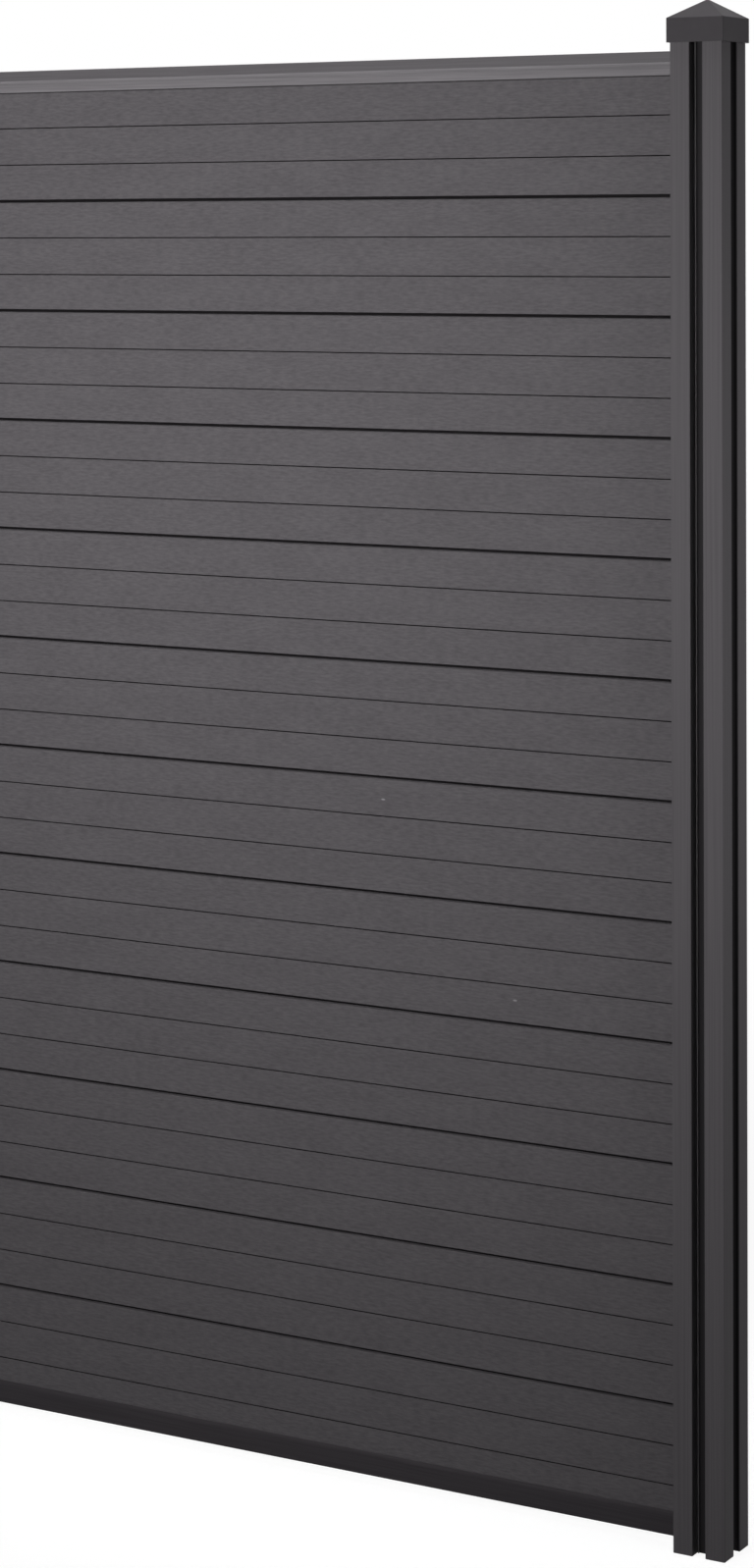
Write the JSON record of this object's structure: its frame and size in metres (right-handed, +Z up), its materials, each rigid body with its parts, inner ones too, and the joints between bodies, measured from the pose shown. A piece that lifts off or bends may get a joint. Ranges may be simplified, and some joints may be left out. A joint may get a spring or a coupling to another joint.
{
  "type": "composite fence panel",
  "caption": "Privacy fence bay of grooved hollow composite boards stacked between slotted square posts with pyramid caps, closed by a top rail and a bottom rail.",
  "frame": {"origin": "on the ground, midway between the two posts", "axes": "+X along the fence to the post that the picture shows, +Y to the back, +Z up"},
  "size_m": [1.9064, 0.0764, 1.9133],
  "materials": {
    "board_composite": "matte",
    "post_aluminium": "satin",
    "top_rail_aluminium": "satin",
    "bottom_rail_aluminium": "satin",
    "cap_plastic": "matte",
    "bracket_steel": "satin",
    "screw_steel": "satin"
  },
  "bodies": {
    "root": {"board_01": "board_composite", "board_02": "board_composite", "board_03": "board_composite", "board_04": "board_composite", "board_05": "board_composite", "board_06": "board_composite", "board_07": "board_composite", "board_08": "board_composite", "board_09": "board_composite", "board_10": "board_composite", "board_11": "board_composite", "board_12": "board_composite", "bottom_rail": "bottom_rail_aluminium", "top_rail": "top_rail_aluminium", "post_left": "post_aluminium", "post_right": "post_aluminium", "post_cap_left": "cap_plastic", "post_cap_right": "cap_plastic", "bracket_left": "bracket_steel", "bracket_right": "bracket_steel", "bracket_screws": "screw_steel"}
  },
  "joints": []
}
